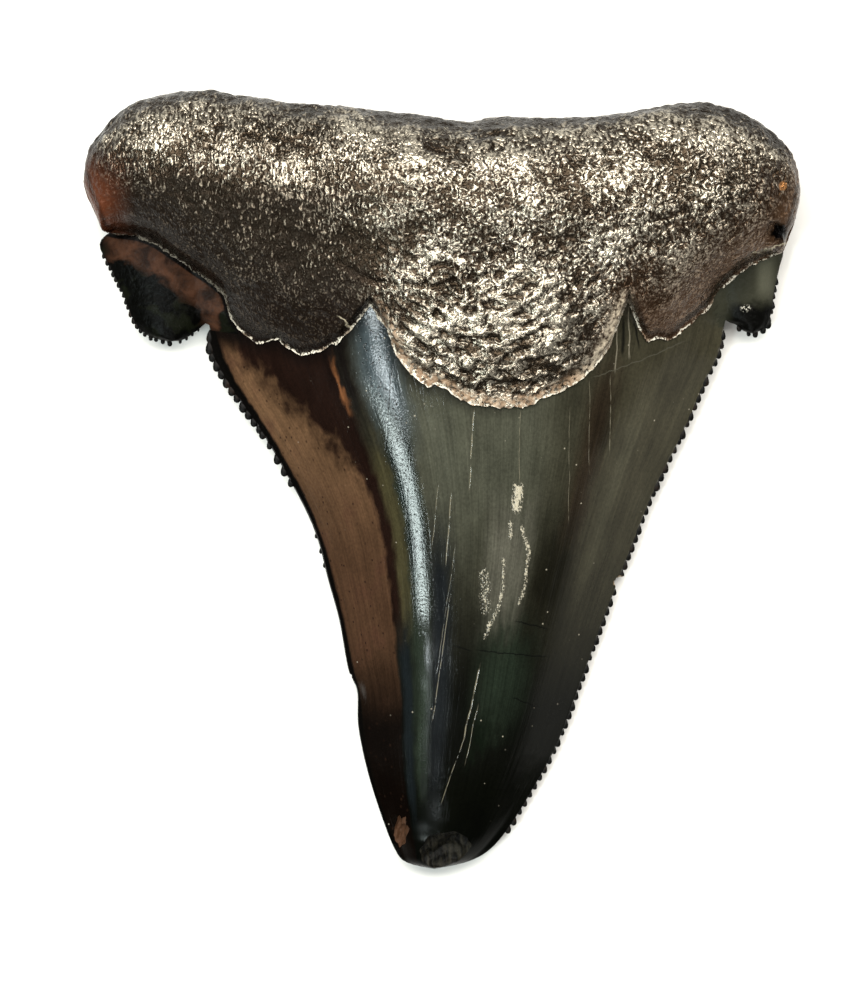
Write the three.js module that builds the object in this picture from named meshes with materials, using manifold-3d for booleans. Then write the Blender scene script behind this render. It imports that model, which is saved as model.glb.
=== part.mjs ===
// A fossil shark tooth: a serrated main blade with a small cusplet on each side, grown in one piece
// with its thick two-lobed root. It lies on its nearly flat outer face, the side that faced the lip.
//
// Frame, in millimetres: +Z out of the domed inner face, +Y from the tip to the root, X across the
// blade. The origin is under the middle of the outline, on the surface that the tooth lies on.

import * as THREE from "three";
import { mergeVertices } from "three/addons/utils/BufferGeometryUtils.js";
import { ImprovedNoise } from "three/addons/math/ImprovedNoise.js";
import Module from "manifold-3d";

const wasm = await Module();
wasm.setup();

const { clamp, lerp, smoothstep } = THREE.MathUtils;

// ---------------------------------------------------------------- driving dimensions

const TIP_Y = -38.85; // the blunt, chipped tip
const ROOT_HALF_WIDTH = 35.65; // the middle to the end of a lobe
const ROOT_CREST = 16.4; // the surface to the top of the root, in the middle
const LOBE_CREST = 13.6; // the same on a lobe
const ROOT_SKIN = 0.4; // how far the root's edge stands proud of the enamel
const ENAMEL_TOP = 19.5; // where enamel meets root on the outer face, in the middle
const EDGE_THICKNESS = 0.24; // of a cutting edge, between two serrations
const SERRATION_PITCH = 1.06;
const SERRATION_DEPTH = 0.55;

// ---------------------------------------------------------------- outlines, seen from the inner face

// The root's upper edge, from the end of one lobe over the shallow saddle to the end of the other.
const ROOT_TOP = [
  [-ROOT_HALF_WIDTH, 30.1], [-35.3, 32.2], [-34.3, 34.3], [-32.2, 36.6], [-28.6, 38.3], [-24.4, 38.85],
  [-20.5, 38.4], [-15.0, 37.6], [-8.0, 37.0], [-1.5, 36.2], [2.9, 35.6], [5.6, 36.0], [13.0, 36.1],
  [18.6, 36.7], [23.0, 37.5], [26.6, 37.5], [30.2, 36.5], [33.2, 34.4], [35.1, 31.4], [ROOT_HALF_WIDTH, 28.8],
];

// The root's lower edge: round the end of each lobe, and between them the scalloped edge of the root's
// skin on the enamel, with a broad tongue in the middle and a pointed notch on each side of it.
const ROOT_MARGIN = [
  [-ROOT_HALF_WIDTH, 30.1], [-35.5, 29.2], [-35.1, 28.1], [-34.6, 27.0], [-33.9, 25.0], [-32.4, 24.6],
  [-30.6, 24.4], [-28.9, 23.8], [-27.1, 22.6], [-25.0, 21.1], [-22.9, 19.7], [-21.7, 18.6], [-21.2, 16.4],
  [-20.4, 15.2], [-18.4, 13.6], [-16.3, 14.0], [-15.2, 13.1], [-14.0, 12.4], [-12.4, 12.8], [-10.6, 13.5],
  [-9.3, 14.6], [-8.4, 15.6], [-7.1, 17.3], [-6.2, 15.9], [-5.4, 14.9], [-4.7, 12.6], [-3.4, 10.9],
  [-1.5, 9.2], [-0.6, 9.6], [1.7, 8.1], [3.5, 7.4], [5.9, 7.3], [7.9, 7.2], [9.8, 8.1], [11.9, 8.9],
  [13.9, 10.1], [15.4, 11.6], [16.4, 13.1], [17.2, 15.0], [18.8, 17.7], [19.4, 16.3], [20.1, 14.8],
  [21.2, 13.9], [22.9, 14.5], [24.3, 15.6], [26.8, 17.5], [28.9, 20.0], [31.3, 21.6], [33.9, 22.8],
  [34.6, 24.6], [35.1, 26.0], [35.5, 27.6], [ROOT_HALF_WIDTH, 28.8],
];

// The same edge without its scallops and notches: what the root's inner face slopes down to.
const ROOT_FALL = [
  [-ROOT_HALF_WIDTH, 30.1], [-33.6, 25.4], [-28.0, 22.4], [-20.0, 15.2], [-14.0, 13.0], [-7.0, 13.2],
  [0.0, 9.6], [7.0, 7.6], [13.0, 10.2], [18.5, 13.8], [23.0, 14.8], [29.0, 19.4], [33.8, 23.0],
  [ROOT_HALF_WIDTH, 28.8],
];

// The two cutting edges of the main blade, from inside the root down to the tip.
const BLADE_LEFT = [
  [-28.0, 26.0], [-26.6, 20.0], [-24.4, 17.0], [-23.3, 15.6], [-23.2, 13.2], [-22.1, 10.9], [-20.5, 8.4],
  [-18.1, 5.0], [-15.8, 1.1], [-13.7, -2.8], [-12.4, -6.0], [-11.4, -9.9], [-10.3, -13.9], [-9.4, -18.8],
  [-8.5, -21.0], [-8.4, -24.5], [-7.5, -28.9], [-6.1, -33.4], [-4.7, -36.9], [-3.5, -38.2], [-0.8, TIP_Y],
];
const BLADE_RIGHT = [
  [30.0, 26.0], [29.6, 20.0], [28.6, 17.2], [28.2, 15.2], [27.7, 12.8], [26.2, 9.7], [24.2, 5.1],
  [21.3, -0.8], [18.9, -6.8], [16.4, -13.3], [13.8, -20.4], [11.5, -26.4], [9.0, -31.0], [6.9, -34.4],
  [4.9, -36.8], [2.6, -38.1], [-0.8, TIP_Y],
];

// The cusplets, small side blades that share the root: outer and inner edges, down to the round foot.
const LEFT_CUSPLET = {
  outer: [
    [-30.5, 26.5], [-33.4, 24.9], [-34.3, 23.6], [-33.2, 21.4], [-32.0, 18.9], [-31.0, 16.4], [-29.6, 14.7],
    [-27.4, 14.0],
  ],
  inner: [
    [-22.0, 26.5], [-21.0, 20.0], [-22.8, 16.9], [-23.9, 15.7], [-25.0, 14.8], [-26.2, 14.1], [-27.4, 14.0],
  ],
};
const RIGHT_CUSPLET = {
  outer: [
    [31.0, 26.0], [33.4, 24.4], [34.2, 23.2], [33.8, 21.4], [33.3, 19.2], [33.0, 17.0], [32.4, 15.5],
    [31.2, 14.8],
  ],
  inner: [[25.0, 26.0], [26.6, 20.0], [27.6, 17.2], [28.5, 16.1], [29.5, 15.7], [30.2, 15.1], [31.2, 14.8]],
};

// ---------------------------------------------------------------- curves

const SPLINE_STEPS = 24; // straight steps between two points of a smooth curve

function vectors(points) {
  return points.map(([x, y]) => new THREE.Vector2(x, y));
}

function smoothLine(points) {
  return new THREE.SplineCurve(vectors(points)).getPoints(SPLINE_STEPS * (points.length - 1));
}

// Reads a line as a function from one of its axes to the other, whichever way it runs.
function reading(line, from, to) {
  const rising = line[0][from] < line.at(-1)[from] ? line : [...line].reverse();
  return (value) => {
    let i = 1;
    while (i < rising.length - 1 && rising[i][from] < value) i++;
    const [a, b] = [rising[i - 1], rising[i]];
    const t = clamp((value - a[from]) / Math.max(b[from] - a[from], 1e-6), 0, 1);
    return lerp(a[to], b[to], t);
  };
}

// Reads hand-set pairs, such as a height at each y, as a function of the first of them.
const steps = (pairs) => reading(vectors(pairs), "x", "y");

const bell = (value, width) => Math.exp(-((value / width) ** 2));

// ---------------------------------------------------------------- enamel

const DOME_POWER = [2.1, 1.12]; // how square the dome's top is, and how thin it gets at the edges
const RIDGE = { at: -0.37, width: 0.13, height: 0.055 }; // a soft ridge left of the middle
const FLAT_SHARE = 0.36; // of the outer face's width
const FLAT_FROM_Y = -25; // the outer face leaves the surface below this, towards the tip
const EDGE_BAND = 0.9; // the serrations' relief stays within this of the edge

// Where enamel meets root on the outer face: a low arch.
const outerMargin = (x) => ENAMEL_TOP + 4.5 * (x / 30) ** 2;

// A lobe of enamel is described by its edges and heights at each y, the rows of points inside the root
// and under it, the stretches of its edges that keep their serrations, and where points lie across it.
const blade = {
  left: reading(smoothLine(BLADE_LEFT), "y", "x"),
  right: reading(smoothLine(BLADE_RIGHT), "y", "x"),
  crest: steps([[24, 12.2], [8, 11.2], [-2, 9.6], [-20, 6.4], [-34, 4.2], [TIP_Y, 2.6]]),
  edge: steps([[24, 2.6], [10, 2.1], [-20, 1.5], [TIP_Y, 1.9]]),
  back: (y) => 0.05 * Math.max(0, FLAT_FROM_Y - y),
  foot: TIP_Y,
  arch: { middle: 0, from: 0, to: ENAMEL_TOP },
  rootedRows: [24, 20, ENAMEL_TOP, 17, 14.8, 12.8],
  serrated: { left: [[14.6, -0.2], [-5.4, -8.4]], right: [[14.8, -9.3], [-10.8, -34.8]] },
  serration: { pitch: SERRATION_PITCH, depth: SERRATION_DEPTH },
  inner: [-0.78, -0.56, -0.4, -0.25, 0.1, 0.45, 0.72],
  outer: [0.7, FLAT_SHARE, -FLAT_SHARE, -0.7],
};

function cusplet({ outer, inner }, crestHeight, serrated) {
  const edges = [outer, inner].map((line) => reading(smoothLine(line), "y", "x"));
  const foot = outer.at(-1)[1];
  const middle = (outer[2][0] + inner[2][0]) / 2;
  const swollen = (y) => Math.sqrt(clamp((y - foot) / 9, 0, 1));
  return {
    left: (y) => Math.min(edges[0](y), edges[1](y)),
    right: (y) => Math.max(edges[0](y), edges[1](y)),
    crest: (y) => lerp(2.9, crestHeight, swollen(y)),
    edge: () => 2.2,
    back: (y) => lerp(1.7, 0.9, swollen(y)),
    foot,
    arch: { middle, from: outerMargin(middle) - 3, to: outerMargin(middle) },
    rootedRows: [outerMargin(middle) + 2, outerMargin(middle) + 0.5, outerMargin(middle)],
    serrated,
    serration: { pitch: 0.9 * SERRATION_PITCH, depth: 0.65 * SERRATION_DEPTH },
    inner: [-0.5, 0, 0.5],
    outer: [0],
  };
}

const leftCusplet = cusplet(LEFT_CUSPLET, 5.4, { left: [[23.9, 14.2]], right: [[15.3, 14.1]] });
const rightCusplet = cusplet(RIGHT_CUSPLET, 5.2, { left: [], right: [[22.8, 15.0]] });
const lobes = [blade, leftCusplet, rightCusplet];

// How high the domed face stands over the cutting edges, as a share, across a width from -1 to 1.
function domeShare(u) {
  const dome = (1 - Math.min(Math.abs(u), 1) ** DOME_POWER[0]) ** DOME_POWER[1];
  return dome + RIDGE.height * bell(u - RIDGE.at, RIDGE.width);
}

function domeHeight(lobe, x, y) {
  const [left, right, edge] = [lobe.left(y), lobe.right(y), lobe.edge(y)];
  const u = (2 * x - left - right) / (right - left);
  return Math.abs(u) < 1 ? edge + (lobe.crest(y) - edge) * domeShare(u) : 0;
}

const enamelAt = (x, y) => Math.max(...lobes.map((lobe) => domeHeight(lobe, x, y)));

// How far a serration sticks out at y on one side: nothing where the edge is worn or chipped.
function serrationOut(lobe, side, y) {
  return lobe.serrated[side].some(([from, to]) => y < from && y > to) ? lobe.serration.depth : 0;
}

// One row of points across a lobe: the domed inner face from left to right, then the outer face back
// to the start. Rows near the root arch with the outer margin. A toothed row ends in serrations.
function enamelRow(lobe, rowY, toothed) {
  const { arch } = lobe;
  const arched = smoothstep(rowY, arch.from, arch.to);
  const point = (u, face) => {
    const level = lerp(lobe.left(rowY), lobe.right(rowY), (u + 1) / 2);
    const y = rowY + (outerMargin(level) - outerMargin(arch.middle)) * arched;
    const out = toothed && Math.abs(u) === 1 ? serrationOut(lobe, u < 0 ? "left" : "right", y) : 0;
    const half = EDGE_THICKNESS / 2 + 0.3 * out;
    return [lerp(lobe.left(y), lobe.right(y), (u + 1) / 2) + u * out, y - 0.3 * out, face(u, y, half)];
  };
  const inner = (u, y, half) => lobe.edge(y) + half + (lobe.crest(y) - lobe.edge(y)) * domeShare(u);
  const outer = (u, y, half) => {
    const rise = clamp((Math.abs(u) - FLAT_SHARE) / (1 - FLAT_SHARE), 0, 1) ** 1.8;
    const sunk = rowY > arch.to ? 1.4 * (1 - rise) : 0;
    return lerp(lobe.back(y), lobe.edge(y) - half, rise) + sunk;
  };
  const band = 1 - (2 * EDGE_BAND) / Math.max(lobe.right(rowY) - lobe.left(rowY), 5 * EDGE_BAND);
  const innerPlaces = [-1, -band, ...lobe.inner, band, 1];
  const outerPlaces = [1, band, ...lobe.outer, -band, -1];
  return [...innerPlaces.map((u) => point(u, inner)), ...outerPlaces.map((u) => point(u, outer))];
}

// A lobe of enamel, with two rows of points to each serration.
function enamelLobe(lobe) {
  const { rootedRows, serration, foot } = lobe;
  const [start, step] = [rootedRows.at(-1), serration.pitch / 2];
  const count = Math.floor((start - foot) / step);
  const freeRows = Array.from({ length: count }, (_, i) => start - (i + 0.6) * step);
  const rings = [
    ...rootedRows.map((y) => enamelRow(lobe, y, false)),
    ...freeRows.map((y, i) => enamelRow(lobe, y, i % 2 === 0)),
  ];
  return loft(rings, centreOf(rings[0]), [(lobe.left(foot) + lobe.right(foot)) / 2, foot, lobe.edge(foot)]);
}

// ---------------------------------------------------------------- root

const BELLY = { middle: 8, end: 6.2 }; // height of the root's roundest line
const PAD = { x: 17, y: 28, sizeX: 6, sizeY: 4, drop: 0.75 }; // the root's two resting places
const GROOVE = { width: 4.5, depth: 1.5 }; // the hollow between the lobes of the outer face
const TONGUE = { x: 3, halfWidth: 15 }; // the swelling over the middle of the enamel
const RIM_WIDTH = 1.3; // the root's skin thins out over this width to its edge
const SHOULDER = 8.5; // how far in from the upper edge the crest lies
const HEEL = 6.5; // the same for the rounding to the outer face
const FREE_FROM = [31.5, 34.6]; // where a lobe's end comes clear of the enamel

const rootTop = reading(smoothLine(ROOT_TOP), "x", "y");
const rootFall = reading(smoothLine(ROOT_FALL), "x", "y");

// 1 along the root, rounding off to 0 at the ends of the lobes.
function endRounding(x, from) {
  return Math.sqrt(1 - clamp((Math.abs(x) - from) / (ROOT_HALF_WIDTH - from), 0, 1) ** 2);
}

const rootBelly = (x) => lerp(BELLY.middle, BELLY.end, smoothstep(Math.abs(x), 12, 34));

function rootCrest(x) {
  return lerp(rootBelly(x), lerp(LOBE_CREST, ROOT_CREST, bell(x - 1.5, 19)), endRounding(x, 18));
}

function outerFace(x, y) {
  const pad = PAD.drop * bell(Math.abs(x) - PAD.x, PAD.sizeX) * bell(y - PAD.y, PAD.sizeY);
  const groove = GROOVE.depth * bell(x, GROOVE.width) * smoothstep(y, 20, 27);
  return lerp(rootBelly(x), 0.35 - pad + groove, endRounding(x, 26));
}

// How far the inner face has dropped at a share t of the way down. A lobe is round; the middle has a
// shallow step under the crest and then swells again towards the tongue.
function slopeDrop(t, middle) {
  const stepped = 0.3 * smoothstep(t, 0, 0.4) + 0.2 * t + 0.5 * t ** 4;
  return lerp(t ** 2.2, stepped, middle);
}

// Height of the inner face, which never sinks into the enamel below it.
function innerFace(x, y, { crest, crestY, fall, lip }) {
  const drop = slopeDrop(clamp((crestY - y) / (crestY - fall), 0, 1), bell(x - TONGUE.x, TONGUE.halfWidth));
  return Math.max(lerp(crest, lip, drop), enamelAt(x, y) + ROOT_SKIN);
}

// Points of a slice through the root: up from the margin to the crest, over the shoulder to the upper
// edge, round the heel under it, along the outer face to its margin, and back inside the enamel.
const STEPS = { slope: 14, shoulder: 6, heel: 4, sole: 5, inside: 1 };

// A slice that sits on the enamel. Each point is [y, z].
function seatedSlice(x, form) {
  const { top, margin, belly, crest, crestY, foot, heel } = form;
  const ring = [];
  for (let i = 0; i < STEPS.slope; i++) {
    const y = lerp(margin, crestY, i / STEPS.slope);
    const rim = 1 - smoothstep(y - margin, 0, RIM_WIDTH);
    ring.push([y, lerp(innerFace(x, y, form), enamelAt(x, y) + ROOT_SKIN, rim)]);
  }
  for (let i = 0; i < STEPS.shoulder; i++) {
    const angle = (Math.PI / 2) * (i / STEPS.shoulder);
    ring.push([lerp(crestY, top, Math.sin(angle)), lerp(belly, crest, Math.cos(angle))]);
  }
  for (let i = 0; i < STEPS.heel; i++) {
    const angle = (Math.PI / 2) * (i / STEPS.heel);
    ring.push([top - heel * (1 - Math.cos(angle)), lerp(belly, outerFace(x, top - heel), Math.sin(angle))]);
  }
  for (let i = 0; i <= STEPS.sole; i++) {
    const y = lerp(top - heel, foot, i / STEPS.sole);
    ring.push([y, outerFace(x, y)]);
  }
  for (let i = 1; i <= STEPS.inside; i++) {
    const t = i / (STEPS.inside + 1);
    ring.push([lerp(foot - 0.5, margin + 0.5, t), lerp(outerFace(x, foot) + 1, enamelAt(x, margin) - 1, t)]);
  }
  return ring;
}

// A slice through a lobe's free end, an egg shape.
function freeSlice(x, { top, margin, belly, crest }) {
  const quarters = [STEPS.slope, STEPS.shoulder, STEPS.heel, STEPS.sole + 1 + STEPS.inside];
  const [middle, half] = [(top + margin) / 2, (top - margin) / 2];
  return quarters.flatMap((count, quarter) =>
    Array.from({ length: count }, (_, i) => {
      const angle = (Math.PI / 2) * (quarter + i / count);
      const pole = quarter < 2 ? crest : outerFace(x, middle);
      return [middle - half * Math.cos(angle), lerp(belly, pole, Math.abs(Math.sin(angle)))];
    }),
  );
}

function rootSlice({ x, y: margin }) {
  const top = rootTop(x);
  const depth = top - margin;
  const heel = Math.min(HEEL, 0.5 * depth);
  const fall = Math.min(rootFall(x), top - 0.6 * depth);
  const form = {
    top,
    margin,
    heel,
    fall,
    belly: rootBelly(x),
    crest: rootCrest(x),
    crestY: top - Math.min(SHOULDER, 0.5 * depth),
    lip: enamelAt(x, fall) + ROOT_SKIN,
    foot: Math.min(outerMargin(x), top - heel - 0.5),
  };
  const free = smoothstep(Math.abs(x), ...FREE_FROM);
  const egg = freeSlice(x, form);
  return seatedSlice(x, form).map(([y, z], i) => [x, lerp(y, egg[i][0], free), lerp(z, egg[i][1], free)]);
}

// Pebbles over the root's skin: random lumps of two sizes.
const PEBBLES = [{ size: 2.6, height: 0.34 }, { size: 1.35, height: 0.2 }];
const pebbleNoise = new ImprovedNoise();

function pebbleAt(x, y, z) {
  const lump = ({ size, height }) => height * pebbleNoise.noise(x / size, y / size, z / size);
  return PEBBLES.reduce((sum, layer) => sum + lump(layer), 0);
}

// Pushes a slice's points out by the pebbles, square to its outline.
function pebbled(ring) {
  return ring.map(([x, y, z], i) => {
    const [before, after] = [ring.at(i - 1), ring[(i + 1) % ring.length]];
    const along = new THREE.Vector2(after[1] - before[1], after[2] - before[2]).normalize();
    const push = pebbleAt(x, y, z);
    return [x, y - along.y * push, z + along.x * push];
  });
}

// Slices stand at every corner of the margin, and halfway between two that are far apart.
const FAR_APART = 1.9;

function root() {
  const corners = vectors(ROOT_MARGIN);
  const places = corners.slice(1).flatMap((corner, i) => {
    const before = corners[i];
    return corner.x - before.x > FAR_APART ? [before.clone().lerp(corner, 0.5), corner] : [corner];
  });
  const endPoint = ([x, y]) => [x, y, BELLY.end];
  return loft(
    places.slice(0, -1).map((place) => pebbled(rootSlice(place))),
    endPoint(ROOT_MARGIN[0]),
    endPoint(ROOT_MARGIN.at(-1)),
  );
}

// ---------------------------------------------------------------- damage

// Bites out of the enamel, each an egg-shaped hollow: its centre, half sizes and turn.
const SCARS = [
  { at: [0.2, -37.6, 5.2], size: [3.1, 1.9, 2.6], turn: 0.3 }, // the broken front of the tip
  { at: [-4.8, -36.4, 3.6], size: [1.3, 2.6, 1.5], turn: -0.35 }, // a flake beside it
  { at: [-9.8, -19.9, 1.6], size: [0.9, 0.8, 1.2], turn: 0.5 }, // a nick in the left edge
  { at: [17.9, -10.1, 1.8], size: [0.7, 0.6, 1.0], turn: 0.4 }, // a chip in the right edge
];

function scar({ at, size, turn }) {
  return new THREE.IcosahedronGeometry(1, 1).scale(...size).rotateZ(turn).translate(...at);
}

// ---------------------------------------------------------------- solids

function centreOf(ring) {
  return [0, 1, 2].map((axis) => ring.reduce((sum, point) => sum + point[axis], 0) / ring.length);
}

// A closed body through rings of points, with a point at each end. Nothing reaches below the surface
// that the tooth lies on, so what would is a flat to rest on.
function loft(rings, start, end) {
  const width = rings[0].length;
  const points = [start, ...rings.flat(), end].map(([x, y, z]) => [x, y, Math.max(z, 0)]);
  const last = points.length - 1;
  const at = (ring, i) => 1 + ring * width + (i % width);
  const faces = [];
  for (let i = 0; i < width; i++) {
    faces.push([0, at(0, i), at(0, i + 1)]);
    for (let ring = 1; ring < rings.length; ring++) {
      faces.push([at(ring - 1, i), at(ring, i), at(ring - 1, i + 1)]);
      faces.push([at(ring, i), at(ring, i + 1), at(ring - 1, i + 1)]);
    }
    faces.push([last, at(rings.length - 1, i + 1), at(rings.length - 1, i)]);
  }
  const geometry = new THREE.BufferGeometry();
  geometry.setAttribute("position", new THREE.Float32BufferAttribute(points.flat(), 3));
  geometry.setIndex(faces.flat());
  return geometry;
}

function solid(geometry) {
  geometry.deleteAttribute("normal");
  geometry.deleteAttribute("uv");
  const merged = mergeVertices(geometry, 1e-5);
  const vertProperties = new Float32Array(merged.attributes.position.array);
  const triVerts = new Uint32Array(merged.index.array);
  return new wasm.Manifold(new wasm.Mesh({ numProp: 3, vertProperties, triVerts }));
}

// ---------------------------------------------------------------- the tooth

function toothGeometry() {
  const grown = [root(), ...lobes.map(enamelLobe)].map(solid).reduce((sum, part) => sum.add(part));
  const worn = SCARS.reduce((left, place) => left.subtract(solid(scar(place))), grown);
  const { vertProperties, triVerts } = worn.getMesh();
  const geometry = new THREE.BufferGeometry();
  geometry.setAttribute("position", new THREE.Float32BufferAttribute(vertProperties, 3));
  geometry.setIndex([...triVerts]);
  return geometry;
}

const tooth = new THREE.Mesh(
  toothGeometry(),
  new THREE.MeshStandardMaterial({ color: 0x2a2620, roughness: 0.4, metalness: 0 }),
);
tooth.name = "tooth";

const group = new THREE.Group();
group.add(tooth);
export default group;
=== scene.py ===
import bmesh
import bpy
import numpy as np
from mathutils import Matrix, Vector, noise
from mathutils.kdtree import KDTree


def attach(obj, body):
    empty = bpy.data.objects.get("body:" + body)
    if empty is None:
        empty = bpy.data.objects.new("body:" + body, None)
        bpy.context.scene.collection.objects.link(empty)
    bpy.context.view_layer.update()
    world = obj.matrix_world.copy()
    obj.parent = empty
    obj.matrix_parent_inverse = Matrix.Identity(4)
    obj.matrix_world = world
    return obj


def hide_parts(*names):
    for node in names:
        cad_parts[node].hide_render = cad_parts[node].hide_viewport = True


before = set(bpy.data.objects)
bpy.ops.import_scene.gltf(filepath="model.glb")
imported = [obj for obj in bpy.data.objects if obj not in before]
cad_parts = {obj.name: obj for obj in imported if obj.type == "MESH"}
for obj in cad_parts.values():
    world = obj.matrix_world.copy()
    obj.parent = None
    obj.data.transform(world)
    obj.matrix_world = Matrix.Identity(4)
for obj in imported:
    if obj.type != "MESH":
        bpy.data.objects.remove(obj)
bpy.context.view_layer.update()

# ------------------------------------------------------------------ enamel: main blade and cusplets
# The blade and its two cusplets are caps of enamel, thick in the middle and thin as paper at the cutting
# edges. Each is laid out here in millimetres as rows of points from the root down to its foot: the domed
# inner face, then the nearly flat outer face back to the start.

MM = 0.001
TIP_Y = -38.85
ROOT_HALF_WIDTH = 35.65
ENAMEL_TOP = 19.5
EDGE_THICKNESS = 0.24
FLAT_SHARE = 0.36  # of the half width, where the outer face is flat
FLAT_FROM_Y = -25.0  # below this the outer face lifts towards the tip
UNDER_ROOT = (3.5, 1.5, 0.4)  # how far above the margin the hidden rows of enamel lie
SUNK = 1.4  # how far their flat middle is sunk into the root
WEB_FROM = 0.88  # of the half width, where the web beside a notch starts
WAVINESS = 0.05  # how high the waves of the enamel's surface are
SPAN_STEPS = 24  # of a smooth line, between two of its points

BLADE_LEFT = [
    (-28.0, 26.0), (-26.6, 20.0), (-24.4, 17.0), (-23.3, 15.6), (-23.2, 13.2), (-22.1, 10.9), (-20.5, 8.4),
    (-18.1, 5.0), (-15.8, 1.1), (-13.7, -2.8), (-12.4, -6.0), (-11.4, -9.9), (-10.3, -13.9), (-9.4, -18.8),
    (-8.5, -21.0), (-8.4, -24.5), (-7.5, -28.9), (-6.1, -33.4), (-4.7, -36.9), (-3.5, -38.2), (-0.8, TIP_Y),
]
BLADE_RIGHT = [
    (30.0, 26.0), (29.6, 20.0), (28.6, 17.2), (28.2, 15.2), (27.7, 12.8), (26.2, 9.7), (24.2, 5.1),
    (21.3, -0.8), (18.9, -6.8), (16.4, -13.3), (13.8, -20.4), (11.5, -26.4), (9.0, -31.0), (6.9, -34.4),
    (4.9, -36.8), (2.6, -38.1), (-0.8, TIP_Y),
]
LEFT_CUSPLET_OUTER = [
    (-30.5, 26.5), (-33.4, 24.9), (-34.3, 23.6), (-33.2, 21.4), (-32.0, 18.9), (-31.0, 16.4), (-29.6, 14.7),
    (-27.4, 14.0),
]
LEFT_CUSPLET_INNER = [
    (-22.0, 26.5), (-21.0, 20.0), (-22.8, 16.9), (-23.9, 15.7), (-25.0, 14.8), (-26.2, 14.1), (-27.4, 14.0),
]
RIGHT_CUSPLET_OUTER = [
    (31.0, 26.0), (33.4, 24.4), (34.2, 23.2), (33.8, 21.4), (33.3, 19.2), (33.0, 17.0), (32.4, 15.5),
    (31.2, 14.8),
]
RIGHT_CUSPLET_INNER = [
    (25.0, 26.0), (26.6, 20.0), (27.6, 17.2), (28.5, 16.1), (29.5, 15.7), (30.2, 15.1), (31.2, 14.8),
]


def smooth_line(points):
    """A smooth curve through given points, as a fine line."""
    p = np.array(points, float)
    padded = np.vstack([p[:1], p, p[-1:]])
    t = np.arange(SPAN_STEPS)[:, None] / SPAN_STEPS
    spans = []
    for a, b, c, d in zip(padded, padded[1:], padded[2:], padded[3:]):
        straight = 2 * b + (c - a) * t
        bent = straight + (2 * a - 5 * b + 4 * c - d) * t**2 + (3 * b - a - 3 * c + d) * t**3
        spans.append(0.5 * bent)
    return np.vstack([*spans, p[-1:]])


def reading(points):
    """Reads the smooth line through pairs of values as the second value by the first one."""
    line = smooth_line(points)
    if line[0, 0] > line[-1, 0]:
        line = line[::-1]
    rising = np.maximum.accumulate(line[:, 0])
    return lambda value: np.interp(value, rising, line[:, 1])


def by_height(outline):
    """Reads an outline as x by y."""
    return reading([(y, x) for x, y in outline])


def bell(value, width):
    return np.exp(-((value / width) ** 2))


def smoothstep(value, low, high):
    t = np.clip((value - low) / (high - low), 0, 1)
    return t * t * (3 - 2 * t)


def lerp(a, b, t):
    return a + (b - a) * t


def outer_margin(x):
    """Where enamel meets root on the outer face: a low arch."""
    return ENAMEL_TOP + 4.5 * (x / 30) ** 2


def blade_dome(u, y):
    """How high the domed face stands over the cutting edges, across a width from -1 to 1."""
    ridge = 0.055 * bell(u + 0.37, 0.13) * smoothstep(y, -36, -29)
    return (1 - np.minimum(np.abs(u), 1) ** 2.1) ** 1.12 + ridge


def cusplet_dome(u, y):
    return 1 - np.minimum(np.abs(u), 1) ** 2.2


def softened(read_edge):
    """The same edge with its nicks smoothed away, for the swell of the enamel behind it."""
    low, high, reach = TIP_Y, 26, 5.0
    y = np.arange(low - 3 * reach, high + 3 * reach, 0.25)
    weight = bell(np.arange(-2 * reach, 2 * reach + 0.1, 0.25), reach / 2)
    edge = read_edge(np.clip(y, low, high))
    smooth = np.convolve(edge, weight / weight.sum(), mode="same")
    keep = bell(np.minimum(y - low, high - y), 3.0) * (y > low - 1)
    return lambda value: np.interp(value, y, lerp(smooth, edge, np.clip(keep, 0, 1)))


def webbed(read_edge, notch_y, spread):
    """The same edge, spread out above its notch so that the blade runs into the cusplet beside it."""
    return lambda y: read_edge(y) + spread * smoothstep(y, notch_y, notch_y + 1.4)


blade_left, blade_right = by_height(BLADE_LEFT), by_height(BLADE_RIGHT)
blade = dict(
    dome=blade_dome,
    cut_left=webbed(blade_left, notch_y=15.8, spread=-4.6),
    cut_right=webbed(blade_right, notch_y=16.1, spread=2.8),
    left=softened(blade_left),
    right=softened(blade_right),
    crest=reading([
        (24, 12.2), (8, 11.2), (-2, 9.6), (-13, 7.45), (-20, 6.5), (-27, 5.55), (-31, 5.1), (-34.5, 4.8),
        (-36.6, 4.35), (TIP_Y, 2.7),
    ]),
    edge=reading([(24, 2.6), (10, 2.1), (-20, 1.5), (TIP_Y, 1.9)]),
    back=lambda y: 0.05 * np.maximum(0, FLAT_FROM_Y - y),
    foot=TIP_Y,
    arch=(0.0, 0.0, ENAMEL_TOP),
    steps=(170, 92, 44),
)


def cusplet(outer, inner, steps):
    """A low cap of enamel between two edges that meet at its foot."""
    edges = by_height(outer), by_height(inner)
    foot = outer[-1][1]
    middle = (outer[2][0] + inner[2][0]) / 2

    def swollen(y):
        return np.sqrt(np.clip((y - foot) / 9, 0, 1))

    def left(y):
        return np.minimum(edges[0](y), edges[1](y))

    def right(y):
        return np.maximum(edges[0](y), edges[1](y))

    return dict(
        dome=cusplet_dome,
        cut_left=left,
        cut_right=right,
        left=left,
        right=right,
        crest=lambda y: lerp(2.9, 4.2, swollen(y)),
        edge=lambda y: 2.2 + 0 * y,
        back=lambda y: lerp(1.7, 0.9, swollen(y)),
        foot=foot,
        arch=(middle, outer_margin(middle) - 3, outer_margin(middle)),
        steps=steps,
    )


left_cusplet = cusplet(LEFT_CUSPLET_OUTER, LEFT_CUSPLET_INNER, (46, 34, 20))
right_cusplet = cusplet(RIGHT_CUSPLET_OUTER, RIGHT_CUSPLET_INNER, (46, 28, 16))
enamel_lobes = [blade, left_cusplet, right_cusplet]


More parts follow.
